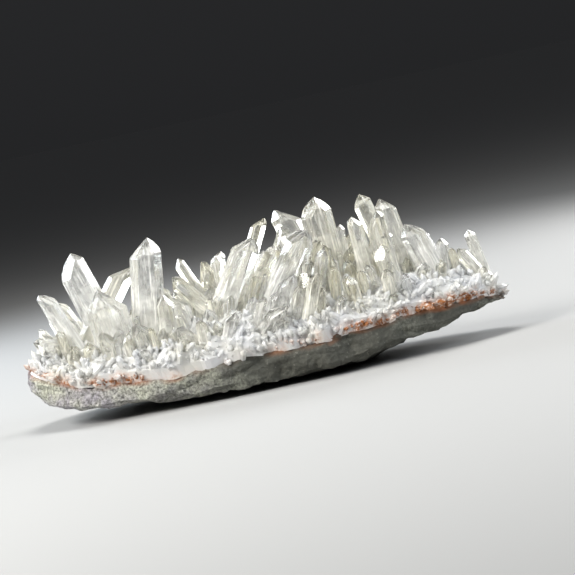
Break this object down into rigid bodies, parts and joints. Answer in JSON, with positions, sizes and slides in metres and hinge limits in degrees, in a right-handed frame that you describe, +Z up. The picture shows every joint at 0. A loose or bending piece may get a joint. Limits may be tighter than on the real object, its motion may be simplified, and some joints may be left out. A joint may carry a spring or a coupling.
{
  "type": "quartz crystal cluster on rock matrix",
  "caption": "Natural cluster of clear, six-sided pointed quartz crystals grown together on a milky bed over a flat slab of dark rock.",
  "frame": {"origin": "middle of the underside of the whole specimen's box, on the surface it rests on", "axes": "+X along the plate to its thin right end, the side shown in the picture faces -Y, +Z up"},
  "size_m": [0.2042, 0.089, 0.0718],
  "materials": {
    "quartz": "clear, bright crystal faces over a milky root",
    "rock": "rough, broken, speckled"
  },
  "bodies": {
    "root": {"quartz_crystals": "quartz", "rock_plate": "rock"}
  },
  "joints": []
}
